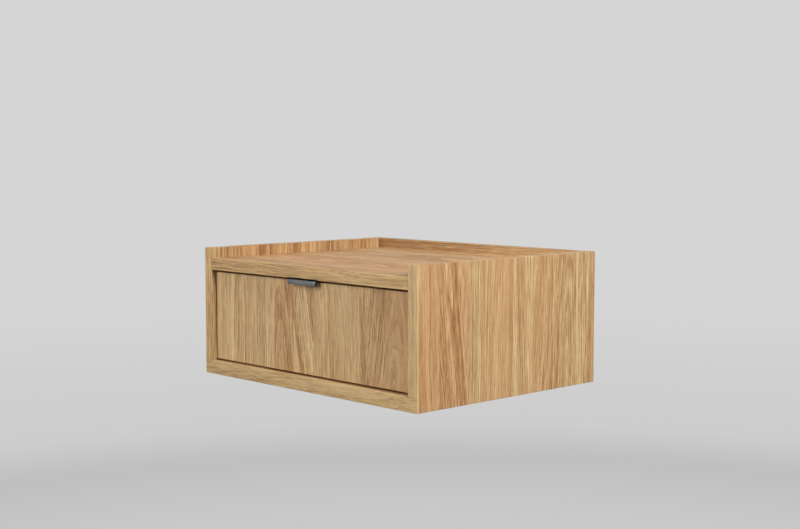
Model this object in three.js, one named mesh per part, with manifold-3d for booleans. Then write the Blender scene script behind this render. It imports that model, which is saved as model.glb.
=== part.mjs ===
// Floating nightstand: an oak-veneered box with a raised rim on three sides of its top, one drawer on
// ball-bearing runners and a pair of hooked hanging rails. Millimetres, +X to the user's right, +Z up.
// The drawer front faces -Y and the wall is the plane y = 0. The origin is the middle of the wall rail's
// back face, where the nightstand meets the wall.
import * as THREE from 'three';
import { mergeVertices } from 'three/addons/utils/BufferGeometryUtils.js';
import Module from 'manifold-3d';

const wasm = await Module();
wasm.setup();

// Carcass boards and their edge bands
const width = 500;
const depth = 390;
const height = 207.3;
const sideThickness = 19;
const topThickness = 19;
const bottomThickness = 22;
const backThickness = 19;
const rimHeight = 17; // from the top panel's surface to the top edge of the sides
const bandThickness = 1;
const easing = 0.9; // radius of the eased arrises
const glueLine = 0.05; // between boards that are glued or screwed together

// Dowels at the ends of the top, bottom and back boards
const dowelDiameter = 8;
const dowelLength = 30;
const dowelInSide = 11.5; // the length that sits in the side board
const dowelChamfer = 1;
const dowelPlay = 0.1;
const dowelEndPlay = 0.5;
const dowelFrontInset = 60; // from the front of the top and bottom panels
const dowelRearInset = 60; // from the wall
const dowelEdgeInset = 35; // from the lower and upper edges of the back board

// Hanging rails: two lengths of one hooked section, one of them turned over
const railThickness = 2.5;
const railFoot = 22; // how far the flat leg reaches below the wall face's middle
const railStep = 8; // height of the step's top above the wall face's middle
const railHook = 12; // height of the hook above the step
const railPlay = 0.3;
const railEndMargin = 31; // from a side board to the rail's end
const railHoleDrop = 9; // rail holes, below the wall face's middle
const wallHoleRadius = 2.75;
const wallHoleFlare = 5;
const wallHoleSink = 2;
const wallHoleShares = [-0.45, -0.15, 0.15, 0.45]; // of the rail's length
const cabinetHoleShares = [-0.4, 0, 0.4]; // of the rail's length
const pocketTopMargin = 15.2; // board left above the pocket
const pocketHeadroom = 1;
const pocketLift = 15; // room below the wall rail to lift the nightstand off
const pocketEndPlay = 5;

// Drawer front
const frontThickness = 19;
const frontRecess = 7.5; // behind the carcass's front edges
const frontSideGap = 2;
const frontBottomGap = 3.3;
const frontEasing = 0.8;

// Tab pull on the drawer front's top edge
const tabWidth = 66.4;
const tabThickness = 2.5;
const tabClearance = 0.95; // from the pull up to the top panel
const tabReach = 1.5; // of the lip, in front of the carcass
const tabLip = 7.8; // height of the lip
const tabLean = 0.85; // how far the lip's foot leans out
const tabBend = 1.2;
const tabTaper = 0.8; // how much narrower each end is at the lip's foot
const tabSeat = 17; // length of the leg on the drawer front
const tabScrewInset = 11; // from each end of the pull
const tabReliefRise = 1.3; // of the shallow cut above the pull, in the top panel's lower face
const tabReliefMargin = 2.4; // of that cut, beyond the pull's ends and behind it

// Drawer box
const boxThickness = 12;
const boxLift = 11; // above the bottom panel
const boxHeadroom = 28.3; // below the top panel
const boxRearClearance = 24.45;
const boxTongue = 6; // how deep the front's and back's tongues sit in the sides
const boxBottomThickness = 6;
const boxBottomRise = 10; // from the box's lower edge to the groove
const boxGrooveDepth = 6;
const boxPlay = 0.1; // of the tongues and the bottom in their grooves

// Ball-bearing runners
const runnerHeight = 45;
const runnerThickness = 12.7;
const runnerFrontInset = 3; // behind the drawer front
const runnerRearInset = 17; // before the end of the drawer box
const sheet = 1.2;
const cabinetReach = 9.5; // width of the cabinet member's flanges
const middleReach = 8.2; // width of the middle member's flanges
const cabinetLip = 1.5;
const middleLip = 1.2;
const cageSheet = 0.5;
const cagePlay = 0.35;
const cageLength = 100;
const cageLegPast = 1; // how far a cage's leg runs past the middle of its balls
const outerBallDiameter = 3.6;
const innerBallDiameter = 3;
const ballPlay = 0.3;
const ballShares = [-0.45, -0.15, 0.15, 0.45]; // of the cage's length
const memberScrewFrontInset = 37;
const memberScrewRearInset = 40;
const drawerScrewFrontInset = 60;
const drawerScrewRearInset = 70;

// Screws
const screwPlay = 0.1;
const screwEndPlay = 0.5;
const headFlush = 0.05; // how far a countersunk head lies below the surface
const runnerScrew = { head: 3.1, sink: 1.05, shank: 1.5, length: 11, tip: 2, slot: 0.7, slotDepth: 0.6 };
const railScrew = { head: 4, sink: 2, shank: 1.8, length: 12, tip: 2.5, slot: 0.9, slotDepth: 1.2 };
const tabScrew = { head: 3.2, sink: 1.8, shank: 1.4, length: 17, tip: 2.5, slot: 0.8, slotDepth: 1.1 };
const panScrew = { head: 4, crown: 2.4, shank: 1.9, length: 24, tip: 3, slot: 0.9, slotDepth: 1.4 };
const slotHeadShare = 0.55; // length of the cross slots, of the head's radius
const frontScrewWidthShare = 0.35; // of the drawer box's inner width, from its middle
const frontScrewEdgeInset = 12; // from the drawer box's floor and from its top edge

// Fineness of the round shapes, and how far a cutting tool runs past what it cuts
const arcSteps = 3;
const roundSteps = 12;
const ballSteps = 6;
const ballRings = 4;
const overrun = 2;

// Places worked out from the sizes above
const halfWidth = width / 2;
const innerHalf = halfWidth - sideThickness;
const railDepth = 2 * railThickness + 2 * railPlay;
const railTurn = 2 * railStep + railHook + glueLine; // height of the rail's turned copy
const railTop = railTurn + railFoot;
const topZ = railTop + pocketHeadroom + pocketTopMargin + bandThickness + glueLine;
const baseZ = topZ - height;
const bayTop = topZ - rimHeight - topThickness;
const bayBottom = baseZ + bottomThickness;
const bandBack = -depth + bandThickness; // where the front bands end and the boards begin
const railLength = 2 * (innerHalf - railEndMargin);
const frontFace = -depth + frontRecess;
const frontBack = frontFace + frontThickness;
const frontTop = bayTop - tabClearance - tabThickness - glueLine;
const frontBottom = bayBottom + frontBottomGap;
const runnerWidth = runnerThickness + 2 * glueLine;
const boxHalf = innerHalf - runnerWidth;
const boxInnerHalf = boxHalf - boxThickness;
const boxFrontY = frontBack + glueLine;
const boxBackY = -backThickness - boxRearClearance;
const boxBottomZ = bayBottom + boxLift;
const boxTopZ = bayTop - boxHeadroom;
const boxMiddleZ = (boxBottomZ + boxTopZ) / 2;
const boxFloorZ = boxBottomZ + boxBottomRise;
const boxFloorTop = boxFloorZ + boxBottomThickness;
const runnerFront = boxFrontY + runnerFrontInset;
const runnerBack = boxBackY - runnerRearInset;

// Materials
const finish = (color, roughness, metalness) =>
  new THREE.MeshStandardMaterial({ color, roughness, metalness });
const oak = finish('#c29d72', 0.55, 0);
const oakEdge = finish('#b7996f', 0.55, 0);
const oakFront = finish('#a98f6a', 0.55, 0);
const birch = finish('#d9bd90', 0.6, 0);
const beech = finish('#cfae84', 0.7, 0);
const darkMetal = finish('#6f7172', 0.45, 0.8);
const zinc = finish('#b9bcc0', 0.35, 0.9);
const cageSteel = finish('#8e9194', 0.4, 0.9);
const aluminium = finish('#c4c7ca', 0.45, 0.9);

// Axis changes for a shape drawn in the XY plane and extruded along its own Z
const axisX = new THREE.Vector3(1, 0, 0);
const axisY = new THREE.Vector3(0, 1, 0);
const axisZ = new THREE.Vector3(0, 0, 1);
const alongX = new THREE.Matrix4().makeBasis(axisY, axisZ, axisX); // drawn in (y, z)
const alongY = new THREE.Matrix4().makeBasis(axisX, axisZ, axisY.clone().negate()); // drawn in (x, z)
const alongZ = new THREE.Matrix4(); // drawn in (x, y)

// A closed three.js geometry as a solid that can be cut and joined, and back again
function solidOf(geometry) {
  const bare = geometry.index ? geometry.toNonIndexed() : geometry.clone();
  bare.deleteAttribute('normal');
  bare.deleteAttribute('uv');
  const merged = mergeVertices(bare);
  return new wasm.Manifold(new wasm.Mesh({
    numProp: 3,
    vertProperties: merged.attributes.position.array,
    triVerts: new Uint32Array(merged.index.array),
  }));
}

function geometryOf(solid) {
  const mesh = solid.getMesh();
  const geometry = new THREE.BufferGeometry();
  geometry.setAttribute('position', new THREE.BufferAttribute(mesh.vertProperties, 3));
  geometry.setIndex(new THREE.BufferAttribute(mesh.triVerts, 1));
  return geometry;
}

// A mesh whose geometry is moved to its own middle, and which is placed where that middle was
function piece(name, solid, material) {
  const geometry = geometryOf(solid);
  geometry.computeBoundingBox();
  const middle = geometry.boundingBox.getCenter(new THREE.Vector3());
  geometry.translate(-middle.x, -middle.y, -middle.z);
  const flat = geometry.toNonIndexed();
  flat.computeVertexNormals();
  const mesh = new THREE.Mesh(flat, material);
  mesh.name = name;
  mesh.position.copy(middle);
  return mesh;
}

// A prism of an outline between two places on its axis, in either order
function prism(outline, basis, one, other) {
  const shape = new THREE.Shape(outline.map(([u, v]) => new THREE.Vector2(u, v)));
  const length = Math.abs(other - one);
  const geometry = new THREE.ExtrudeGeometry(shape, { depth: length, bevelEnabled: false });
  const run = new THREE.Vector3().setFromMatrixColumn(basis, 2);
  const middle = run.clone().multiply(run).multiplyScalar((one + other) / 2);
  const start = middle.addScaledVector(run, -length / 2);
  geometry.applyMatrix4(basis).translate(start.x, start.y, start.z);
  return solidOf(geometry);
}

// The outline of a rectangle whose corners can be eased: corners counts them anticlockwise from the
// lowest u and v, and each is a radius
function easedOutline([u0, v0], [u1, v1], corners) {
  const middles = [[u0, v0, 1, 1], [u1, v0, -1, 1], [u1, v1, -1, -1], [u0, v1, 1, -1]];
  return middles.flatMap(([u, v, su, sv], corner) => {
    const radius = corners[corner];
    if (!radius) return [[u, v]];
    return Array.from({ length: arcSteps + 1 }, (_, step) => {
      const angle = Math.PI * (1 + corner / 2 + step / (2 * arcSteps));
      return [u + su * radius + radius * Math.cos(angle), v + sv * radius + radius * Math.sin(angle)];
    });
  });
}

// A block between two opposite corners, with eased arrises along X, Y or Z as lists of four radii
function block([x0, y0, z0], [x1, y1, z1], eased = {}) {
  const square = [0, 0, 0, 0];
  let solid = prism(easedOutline([x0, y0], [x1, y1], eased.z ?? square), alongZ, z0, z1);
  if (eased.x) {
    const profile = easedOutline([y0, z0], [y1, z1], eased.x);
    solid = solid.intersect(prism(profile, alongX, x0 - overrun, x1 + overrun));
  }
  if (eased.y) {
    const profile = easedOutline([x0, z0], [x1, z1], eased.y);
    solid = solid.intersect(prism(profile, alongY, y0 - overrun, y1 + overrun));
  }
  return solid;
}

// A turned solid on the Y axis from a profile of (radius, height) points that starts and ends on it
function turned(profile) {
  const points = profile.map(([r, y]) => new THREE.Vector2(r, y));
  return new THREE.LatheGeometry(points, roundSteps);
}

// Moves a geometry made on the Y axis so that its +Y points along "out" and its origin is at "at"
function aimed(geometry, out, at) {
  const turn = new THREE.Quaternion().setFromUnitVectors(axisY, out);
  return geometry.clone().applyQuaternion(turn).translate(at.x, at.y, at.z);
}

// Screws, made on the Y axis with the head's outer face or seat at the origin and the point below
function screwProfile({ head, sink, crown, shank, length, tip }) {
  if (crown) {
    const shoulder = crown / 2;
    return [[0, -length], [shank, tip - length], [shank, 0], [head, 0], [head, shoulder],
      [head - shoulder, crown], [0, crown]];
  }
  return [[0, -length], [shank, tip - length], [shank, -sink], [head, 0], [0, 0]];
}

function screwGeometry(kind) {
  const top = kind.crown ?? 0;
  const arm = kind.head * slotHeadShare;
  const half = kind.slot / 2;
  const floor = top - kind.slotDepth;
  const roof = top + overrun;
  const cross = block([-arm, floor, -half], [arm, roof, half])
    .add(block([-half, floor, -arm], [half, roof, arm]));
  return geometryOf(solidOf(turned(screwProfile(kind))).subtract(cross));
}

// The hole that a screw needs, with play round its head and shank
function screwHole(kind) {
  const shank = kind.shank + screwPlay;
  const end = -kind.length - screwEndPlay;
  if (kind.crown) return turned([[0, end], [shank, end], [shank, overrun], [0, overrun]]);
  const head = kind.head + screwPlay;
  return turned([[0, end], [shank, end], [shank, -kind.sink - screwPlay], [head, 0], [head, overrun],
    [0, overrun]]);
}

const screwShapes = new Map();

function screw(name, kind, out, at) {
  if (!screwShapes.has(kind)) {
    const flat = screwGeometry(kind).toNonIndexed();
    flat.computeVertexNormals();
    screwShapes.set(kind, flat);
  }
  const mesh = new THREE.Mesh(screwShapes.get(kind), zinc);
  mesh.name = name;
  mesh.quaternion.setFromUnitVectors(axisY, out);
  mesh.position.copy(at);
  return mesh;
}

// Cuts a hole shape made on the Y axis out of a solid at each place
function bored(solid, shape, out, places) {
  return places.reduce((rest, at) => rest.subtract(solidOf(aimed(shape, out, at))), solid);
}

const point = (x, y, z) => new THREE.Vector3(x, y, z);
const outOf = { left: axisX, right: axisX.clone().negate() }; // from a side board into the cabinet

// Dowels. Each place is where a dowel crosses the joint at the left side board's inner face.
const topDowelZ = bayTop + topThickness / 2;
const bottomDowelZ = baseZ + bottomThickness / 2;
const backDowelY = -backThickness / 2;
const dowelY = [bandBack + dowelFrontInset, -dowelRearInset - backThickness];
const dowelPlaces = {
  top_dowel_left: dowelY.map((y) => point(-innerHalf, y, topDowelZ)),
  bottom_dowel_left: dowelY.map((y) => point(-innerHalf, y, bottomDowelZ)),
  back_dowel_left: [bayBottom + dowelEdgeInset, topZ - bandThickness - dowelEdgeInset]
    .map((z) => point(-innerHalf, backDowelY, z)),
};
const mirrored = ({ x, y, z }) => point(-x, y, z);
const dowelInPanel = dowelLength - dowelInSide;

function dowelBores(solid, names) {
  const radius = dowelDiameter / 2 + dowelPlay;
  const low = -dowelInSide - dowelEndPlay;
  const high = dowelInPanel + dowelEndPlay;
  const bore = turned([[0, low], [radius, low], [radius, high], [0, high]]);
  return names.reduce((rest, name) => {
    const places = dowelPlaces[name];
    const left = bored(rest, bore, outOf.left, places);
    return bored(left, bore, outOf.right, places.map(mirrored));
  }, solid);
}

function dowels() {
  const radius = dowelDiameter / 2;
  const bevel = radius - dowelChamfer;
  const shape = turned([[0, -dowelInSide], [bevel, -dowelInSide], [radius, dowelChamfer - dowelInSide],
    [radius, dowelInPanel - dowelChamfer], [bevel, dowelInPanel], [0, dowelInPanel]]);
  return Object.entries(dowelPlaces).flatMap(([name, places]) => places.flatMap((at, index) =>
    [['left', at], ['right', mirrored(at)]].map(([side, place]) =>
      piece(name.replace('left', side + '_' + (index + 1)), solidOf(aimed(shape, outOf[side], place)),
        beech))));
}

// Screw places
const memberScrewY = [runnerFront + memberScrewFrontInset, runnerBack - memberScrewRearInset];
const drawerScrewY = [runnerFront + drawerScrewFrontInset, runnerBack - drawerScrewRearInset];
const memberScrewPlaces = memberScrewY.map((y) =>
  point(-innerHalf + glueLine + sheet - headFlush, y, boxMiddleZ));
const drawerScrewPlaces = drawerScrewY.map((y) =>
  point(-boxHalf - glueLine - sheet + headFlush, y, boxMiddleZ));
const pocketFloor = -railDepth - glueLine;
const railScrewPlaces = cabinetHoleShares.map((share) =>
  point(share * railLength, railThickness - railDepth - headFlush, railTurn + railHoleDrop));
const boxInnerWidth = 2 * boxInnerHalf;
const boxFrontInside = boxFrontY + boxThickness;
const frontScrewZ = [boxFloorTop + frontScrewEdgeInset, boxTopZ - frontScrewEdgeInset];
const frontScrewPlaces = [-1, 1].flatMap((side) => frontScrewZ.map((z) =>
  point(side * frontScrewWidthShare * boxInnerWidth, boxFrontInside + glueLine, z)));
const tabTop = frontTop + glueLine + tabThickness;
const tabScrewX = tabWidth / 2 - tabScrewInset;
const tabScrewPlaces = [-1, 1].map((side) =>
  point(side * tabScrewX, (frontFace + frontBack) / 2, tabTop - headFlush));

// The room above the pull, cut out of the top panel and its front band
function pullRelief() {
  const half = tabWidth / 2 + tabReliefMargin;
  return block([-half, -depth - overrun, bayTop - overrun],
    [half, frontFace + tabSeat + tabReliefMargin, bayTop + tabReliefRise]);
}

// Carcass
function carcassBoards() {
  const boardTop = topZ - bandThickness - glueLine;
  const boardFront = bandBack + glueLine;
  const panelHalf = innerHalf - glueLine;
  const sides = ['left', 'right'].map((side) => {
    const turn = side === 'left' ? 1 : -1;
    const [low, high] = [-halfWidth * turn, -innerHalf * turn].sort((a, b) => a - b);
    const eased = side === 'left' ? [easing, 0, 0, 0] : [0, easing, 0, 0];
    let board = block([low, boardFront, baseZ], [high, 0, boardTop], { y: eased });
    board = dowelBores(board, Object.keys(dowelPlaces));
    const places = side === 'left' ? memberScrewPlaces : memberScrewPlaces.map(mirrored);
    board = bored(board, screwHole(runnerScrew), outOf[side], places);
    return piece(side + '_side', board, oak);
  });
  const rearFace = -backThickness;
  const top = block([-panelHalf, boardFront, bayTop],
    [panelHalf, rearFace - glueLine, bayTop + topThickness]).subtract(pullRelief());
  const bottom = block([-panelHalf, boardFront, baseZ], [panelHalf, 0, bayBottom]);
  let back = block([-panelHalf, rearFace, bayBottom + glueLine], [panelHalf, 0, boardTop]);
  const pocketHalf = railLength / 2 + pocketEndPlay;
  back = back.subtract(block([-pocketHalf, pocketFloor, -railFoot - pocketLift],
    [pocketHalf, overrun, railTop + pocketHeadroom]));
  back = bored(dowelBores(back, ['back_dowel_left']), screwHole(railScrew), axisY, railScrewPlaces);
  return [
    ...sides,
    piece('top_panel', dowelBores(top, ['top_dowel_left']), oak),
    piece('bottom_panel', dowelBores(bottom, ['bottom_dowel_left']), oak),
    piece('back_board', back, oak),
  ];
}

// Edge bands. The bottom one runs the full width, and the side ones stand on it.
function edgeBands() {
  const front = -depth;
  const topEdge = topZ - bandThickness;
  const bandHalf = innerHalf - glueLine;
  const both = [easing, easing, 0, 0];
  const frontArrises = [easing, 0, 0, easing];
  const bands = ['left', 'right'].flatMap((side) => {
    const outer = side === 'left' ? -halfWidth : halfWidth;
    const inner = side === 'left' ? -innerHalf : innerHalf;
    const [low, high] = outer < inner ? [outer, inner] : [inner, outer];
    const upright = block([low, front, bayBottom + glueLine], [high, bandBack, topZ],
      { z: both, x: [0, 0, 0, easing] });
    const cap = block([low, bandBack + glueLine, topEdge], [high, 0, topZ], { y: [0, 0, easing, easing] });
    return [piece(side + '_front_band', upright, oakEdge), piece(side + '_top_band', cap, oakEdge)];
  });
  const topBand = block([-bandHalf, front, bayTop], [bandHalf, bandBack, bayTop + topThickness],
    { x: frontArrises }).subtract(pullRelief());
  const bottomBand = block([-halfWidth, front, baseZ], [halfWidth, bandBack, bayBottom],
    { z: both, x: frontArrises });
  const backCap = block([-bandHalf, -backThickness, topEdge], [bandHalf, 0, topZ],
    { x: [0, 0, easing, easing] });
  return [
    ...bands,
    piece('top_front_band', topBand, oakEdge),
    piece('bottom_front_band', bottomBand, oakEdge),
    piece('back_top_band', backCap, oakEdge),
  ];
}

// Hanging rails: a flat leg, a step and a hook, drawn in (y, z) as the wall rail stands
function railSection() {
  const hookInner = -railThickness - 2 * railPlay;
  const hookOuter = hookInner - railThickness;
  const hookTop = railStep + railHook;
  const stepBottom = railStep - railThickness;
  return [[0, -railFoot], [0, railStep], [hookInner, railStep], [hookInner, hookTop],
    [hookOuter, hookTop], [hookOuter, stepBottom], [-railThickness, stepBottom],
    [-railThickness, -railFoot]].reverse();
}

function hangingRails() {
  const half = railLength / 2;
  const wallHole = turned([[0, -railThickness - overrun], [wallHoleRadius, -railThickness - overrun],
    [wallHoleRadius, -wallHoleSink], [wallHoleFlare, 0], [wallHoleFlare, overrun], [0, overrun]]);
  const wallRail = bored(prism(railSection(), alongX, -half, half), wallHole, axisY.clone().negate(),
    wallHoleShares.map((share) => point(share * railLength, -railThickness, -railHoleDrop)));
  const turnedSection = railSection().map(([y, z]) => [-railDepth - y, railTurn - z]);
  const cabinetRail = bored(prism(turnedSection, alongX, -half, half), screwHole(railScrew), axisY,
    railScrewPlaces);
  return [
    piece('wall_rail', wallRail, aluminium),
    piece('cabinet_rail', cabinetRail, aluminium),
    ...railScrewPlaces.map((at, index) =>
      screw('cabinet_rail_screw_' + (index + 1), railScrew, axisY, at)),
  ];
}

// Runners, drawn for the left side in (x, z). A member is a channel of sheet: "web" is the outer face
// of its web, "reach" the width of its flanges from there, towards +X or, if negative, -X.
function channel(web, reach, halfHeight, thickness, lip) {
  const turn = Math.sign(reach);
  const inside = web + turn * thickness;
  const edge = web + reach;
  const lipInside = edge - turn * thickness;
  const flange = halfHeight - thickness;
  const upper = lip
    ? [[edge, halfHeight], [edge, flange - lip], [lipInside, flange - lip], [lipInside, flange]]
    : [[edge, halfHeight], [edge, flange]];
  const lower = upper.map(([x, z]) => [x, -z]).reverse();
  const outline = [[web, halfHeight], ...upper, [inside, flange], [inside, -flange], ...lower,
    [web, -halfHeight]];
  const ordered = turn > 0 ? outline.reverse() : outline;
  return ordered.map(([x, z]) => [x, z + boxMiddleZ]);
}

function ballCage(name, web, ballX, ballHeight, diameter) {
  const middleY = (runnerFront + runnerBack) / 2;
  const outline = channel(web, ballX + cageLegPast - web, ballHeight + cageSheet / 2, cageSheet, 0);
  const ball = new THREE.SphereGeometry(diameter / 2, ballSteps, ballRings);
  let cage = prism(outline, alongY, middleY - cageLength / 2, middleY + cageLength / 2);
  for (const share of ballShares) {
    for (const level of [-1, 1]) {
      const at = point(ballX, middleY + share * cageLength, boxMiddleZ + level * ballHeight);
      cage = cage.add(solidOf(ball.clone().translate(at.x, at.y, at.z)));
    }
  }
  return piece(name, cage, cageSteel);
}

function runner(side) {
  const wallX = -innerHalf + glueLine;
  const cabinetHalf = runnerHeight / 2;
  const middleHalf = cabinetHalf - sheet - outerBallDiameter - 2 * ballPlay;
  const drawerHalf = middleHalf - sheet - innerBallDiameter - 2 * ballPlay;
  const cageGap = cageSheet + 2 * cagePlay;
  const middleWeb = wallX + sheet + cageGap;
  const drawerEdge = middleWeb + sheet + cageGap;
  const drawerWeb = wallX + runnerThickness;
  const outerBallX = wallX + cabinetReach / 2;
  const innerBallX = (drawerEdge + middleWeb + middleReach - sheet) / 2;
  const member = (outline) => prism(outline, alongY, runnerFront, runnerBack);
  const hole = screwHole(runnerScrew);
  const cabinetMember = bored(member(channel(wallX, cabinetReach, cabinetHalf, sheet, cabinetLip)), hole,
    axisX, memberScrewPlaces);
  const middleMember = member(channel(middleWeb, middleReach, middleHalf, sheet, middleLip));
  const drawerMember = bored(member(channel(drawerWeb, drawerEdge - drawerWeb, drawerHalf, sheet, 0)),
    hole, outOf.right, drawerScrewPlaces);
  const outerCage = ballCage(side + '_outer_ball_cage', wallX + sheet + cagePlay, outerBallX,
    cabinetHalf - sheet - ballPlay - outerBallDiameter / 2, outerBallDiameter);
  const innerCage = ballCage(side + '_inner_ball_cage', middleWeb + sheet + cagePlay, innerBallX,
    middleHalf - sheet - ballPlay - innerBallDiameter / 2, innerBallDiameter);
  const group = new THREE.Group();
  group.add(
    piece(side + '_cabinet_member', cabinetMember, zinc),
    outerCage,
    piece(side + '_middle_member', middleMember, zinc),
    innerCage,
    piece(side + '_drawer_member', drawerMember, zinc),
    ...memberScrewPlaces.map((at, index) =>
      screw(side + '_cabinet_member_screw_' + (index + 1), runnerScrew, axisX, at)),
    ...drawerScrewPlaces.map((at, index) =>
      screw(side + '_drawer_member_screw_' + (index + 1), runnerScrew, outOf.right, at)),
  );
  if (side === 'right') group.scale.x = -1; // the right runner is the left one mirrored
  return group;
}

// Drawer front, with holes for the screws of the box and of the pull
function drawerFront() {
  const half = innerHalf - frontSideGap;
  let front = block([-half, frontFace, frontBottom], [half, frontBack, frontTop], {
    z: [frontEasing, frontEasing, 0, 0],
    x: [frontEasing, 0, 0, frontEasing],
  });
  front = bored(front, screwHole(panScrew), axisY, frontScrewPlaces);
  front = bored(front, screwHole(tabScrew), axisZ, tabScrewPlaces);
  return piece('drawer_front', front, oakFront);
}

// Drawer box: the front and back have tongues in upright grooves of the sides, and the bottom sits in
// a groove all round
function drawerBox() {
  const tongue = boxThickness / 2;
  const grooveEnd = boxInnerHalf + boxTongue;
  const grooveHalf = boxInnerHalf + boxGrooveDepth;
  const grooveFront = boxFrontInside - boxGrooveDepth;
  const boxBackInside = boxBackY - boxThickness;
  const grooveBack = boxBackInside + boxGrooveDepth;
  const groove = block([-grooveHalf, grooveFront, boxFloorZ], [grooveHalf, grooveBack, boxFloorTop]);
  const sides = ['left', 'right'].map((side) => {
    const turn = side === 'left' ? -1 : 1;
    const span = (from, to) => [from * turn, to * turn].sort((a, b) => a - b);
    const [low, high] = span(boxInnerHalf, boxHalf);
    const [slotLow, slotHigh] = span(boxInnerHalf - overrun, grooveEnd);
    let board = block([low, boxFrontY, boxBottomZ], [high, boxBackY, boxTopZ]);
    for (const y of [boxFrontInside - tongue, boxBackInside]) {
      board = board.subtract(block([slotLow, y, boxBottomZ - overrun],
        [slotHigh, y + tongue, boxTopZ + overrun]));
    }
    const places = side === 'left' ? drawerScrewPlaces : drawerScrewPlaces.map(mirrored);
    board = bored(board.subtract(groove), screwHole(runnerScrew), outOf[side].clone().negate(), places);
    return piece('box_' + side + '_side', board, birch);
  });
  const bodyHalf = boxInnerHalf - glueLine;
  const tongueHalf = grooveEnd - boxPlay;
  const cross = (y0, y1, tongue0, tongue1) =>
    block([-bodyHalf, y0, boxBottomZ], [bodyHalf, y1, boxTopZ]).add(
      block([-tongueHalf, tongue0 + boxPlay, boxBottomZ], [tongueHalf, tongue1 - boxPlay, boxTopZ]));
  const front = cross(boxFrontY, boxFrontInside, boxFrontInside - tongue, boxFrontInside);
  const back = cross(boxBackInside, boxBackY, boxBackInside, boxBackInside + tongue);
  const bottom = block([boxPlay - grooveHalf, grooveFront + boxPlay, boxFloorZ + boxPlay],
    [grooveHalf - boxPlay, grooveBack - boxPlay, boxFloorTop - boxPlay]);
  return [
    ...sides,
    piece('box_front', bored(front.subtract(groove), screwHole(panScrew), axisY, frontScrewPlaces), birch),
    piece('box_back', back.subtract(groove), birch),
    piece('box_bottom', bottom, birch),
  ];
}

// Tab pull, drawn in (y, z): a leg on the drawer front's top edge and a lip that leans out in front.
// Its ends taper towards the lip's foot.
function tabPull() {
  const lipFront = -depth - tabReach;
  const lipFoot = tabTop - tabLip;
  const legBottom = frontTop + glueLine;
  const legEnd = frontFace + tabSeat;
  const bend = Array.from({ length: arcSteps + 1 }, (_, step) => {
    const angle = Math.PI * (1 - step / (2 * arcSteps));
    return [lipFront + tabBend * (1 + Math.cos(angle)), tabTop + tabBend * (Math.sin(angle) - 1)];
  });
  const section = [...bend, [legEnd, tabTop], [legEnd, legBottom],
    [lipFront + tabThickness, legBottom], [lipFront + tabThickness - tabLean, lipFoot],
    [lipFront - tabLean, lipFoot]].reverse();
  const half = tabWidth / 2;
  const foot = half - tabTaper;
  const ends = [[-half, tabTop + overrun], [-half, legBottom], [-foot, lipFoot - overrun],
    [foot, lipFoot - overrun], [half, legBottom], [half, tabTop + overrun]];
  const tapered = prism(ends, alongY, lipFront - overrun, legEnd + overrun);
  const solid = prism(section, alongX, -half - overrun, half + overrun).intersect(tapered);
  return [
    piece('pull_tab', bored(solid, screwHole(tabScrew), axisZ, tabScrewPlaces), darkMetal),
    screw('pull_screw_left', tabScrew, axisZ, tabScrewPlaces[0]),
    screw('pull_screw_right', tabScrew, axisZ, tabScrewPlaces[1]),
  ];
}

const carcass = new THREE.Group();
carcass.add(...carcassBoards(), ...edgeBands(), ...dowels(), ...hangingRails());

const drawer = new THREE.Group();
drawer.add(drawerFront(), ...drawerBox(), ...tabPull(), ...frontScrewPlaces.map((at, index) =>
  screw('front_screw_' + (index + 1), panScrew, axisY, at)));

const nightstand = new THREE.Group();
nightstand.add(carcass, drawer, runner('left'), runner('right'));

export default nightstand;
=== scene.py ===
import math

import bmesh
import bpy
import numpy as np
from mathutils import Matrix, Vector


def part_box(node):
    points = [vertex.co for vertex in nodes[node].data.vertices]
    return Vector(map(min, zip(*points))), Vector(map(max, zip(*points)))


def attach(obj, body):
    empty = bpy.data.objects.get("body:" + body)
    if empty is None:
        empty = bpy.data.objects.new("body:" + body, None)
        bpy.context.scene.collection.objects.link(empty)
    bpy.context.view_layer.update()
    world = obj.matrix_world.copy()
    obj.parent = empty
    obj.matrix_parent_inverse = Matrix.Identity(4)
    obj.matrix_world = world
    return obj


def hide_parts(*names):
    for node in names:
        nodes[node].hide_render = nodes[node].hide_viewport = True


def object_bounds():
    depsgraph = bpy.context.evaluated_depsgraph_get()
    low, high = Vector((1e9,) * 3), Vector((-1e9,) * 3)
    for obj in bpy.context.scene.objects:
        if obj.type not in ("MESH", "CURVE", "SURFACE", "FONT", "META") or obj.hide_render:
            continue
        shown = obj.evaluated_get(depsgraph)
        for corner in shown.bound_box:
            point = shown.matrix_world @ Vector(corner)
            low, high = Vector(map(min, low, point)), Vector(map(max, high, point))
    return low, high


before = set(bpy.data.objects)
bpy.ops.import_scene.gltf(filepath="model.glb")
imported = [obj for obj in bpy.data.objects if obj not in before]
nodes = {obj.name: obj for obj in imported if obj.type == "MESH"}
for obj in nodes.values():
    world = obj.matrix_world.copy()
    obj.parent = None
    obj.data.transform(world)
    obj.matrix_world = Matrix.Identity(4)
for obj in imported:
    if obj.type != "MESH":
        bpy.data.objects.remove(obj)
cad_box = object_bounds()


# The camera stands off the nightstand's front right corner, a little above its top, and dips
# slightly. Its lens is given for a sensor 36 mm wide, and the picture is 800 by 529.
camera_place = (1.5787, -1.6837, 0.2208)
camera_turn = 46.498  # degrees to the left of looking straight at the wall
camera_dip = 4.694
camera_data = bpy.data.cameras.new("camera")
camera_data.sensor_width = 36
camera_data.lens = 60.887
camera = bpy.data.objects.new("camera", camera_data)
camera.location = camera_place
camera.rotation_euler = (math.radians(90 - camera_dip), 0, math.radians(camera_turn))
bpy.context.scene.collection.objects.link(camera)
bpy.context.scene.camera = camera
bpy.context.scene.view_settings.view_transform = "Standard"


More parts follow.
